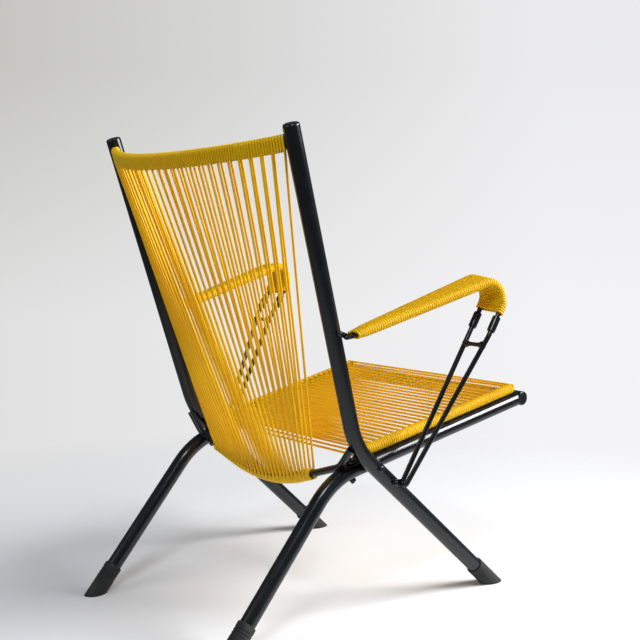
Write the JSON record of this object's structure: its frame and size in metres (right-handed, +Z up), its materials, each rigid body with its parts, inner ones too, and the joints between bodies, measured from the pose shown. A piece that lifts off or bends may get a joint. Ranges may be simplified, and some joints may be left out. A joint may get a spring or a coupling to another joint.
{
  "type": "cord-strung tubular lounge chair",
  "caption": "Low lounge chair of bolted bent black tubes, its seat, leaning back and sloping armrests strung or wound with yellow plastic cord.",
  "frame": {"origin": "centre of the bounding box at floor level", "axes": "+Z up, the sitter looks along -Y, +X is the sitter's left"},
  "size_m": [0.6822, 0.7622, 0.876],
  "materials": {
    "black_enamel": "satin gloss blue-black enamel",
    "black_plastic": "smooth black plastic",
    "black_rubber": "matt black rubber",
    "dark_steel": "darkened steel",
    "yellow_cord": "smooth golden yellow PVC cord"
  },
  "bodies": {
    "root": {"post_front_leg_right": "black_enamel", "rail_rear_leg_right": "black_enamel", "seat_rod_right": "black_enamel", "arm_hoop_right": "black_enamel", "arm_strut_right": "black_enamel", "arm_coupling_inner_right": "black_enamel", "arm_coupling_outer_right": "black_enamel", "frame_bolt_right": "dark_steel", "frame_nut_right": "dark_steel", "rail_bolt_right": "dark_steel", "rail_nut_right": "dark_steel", "arm_screw_right": "dark_steel", "strut_screw_right": "dark_steel", "post_cap_right": "black_plastic", "cross_tube_plug_right": "black_plastic", "front_foot_right": "black_rubber", "rear_foot_right": "black_rubber", "arm_cord_right": "yellow_cord", "post_front_leg_left": "black_enamel", "rail_rear_leg_left": "black_enamel", "seat_rod_left": "black_enamel", "arm_hoop_left": "black_enamel", "arm_strut_left": "black_enamel", "arm_coupling_inner_left": "black_enamel", "arm_coupling_outer_left": "black_enamel", "frame_bolt_left": "dark_steel", "frame_nut_left": "dark_steel", "rail_bolt_left": "dark_steel", "rail_nut_left": "dark_steel", "arm_screw_left": "dark_steel", "strut_screw_left": "dark_steel", "post_cap_left": "black_plastic", "cross_tube_plug_left": "black_plastic", "front_foot_left": "black_rubber", "rear_foot_left": "black_rubber", "arm_cord_left": "yellow_cord", "front_cross_tube": "black_enamel", "back_top_rail": "black_enamel", "back_lower_rail": "black_enamel", "back_cord": "yellow_cord", "seat_cord": "yellow_cord"}
  },
  "joints": []
}
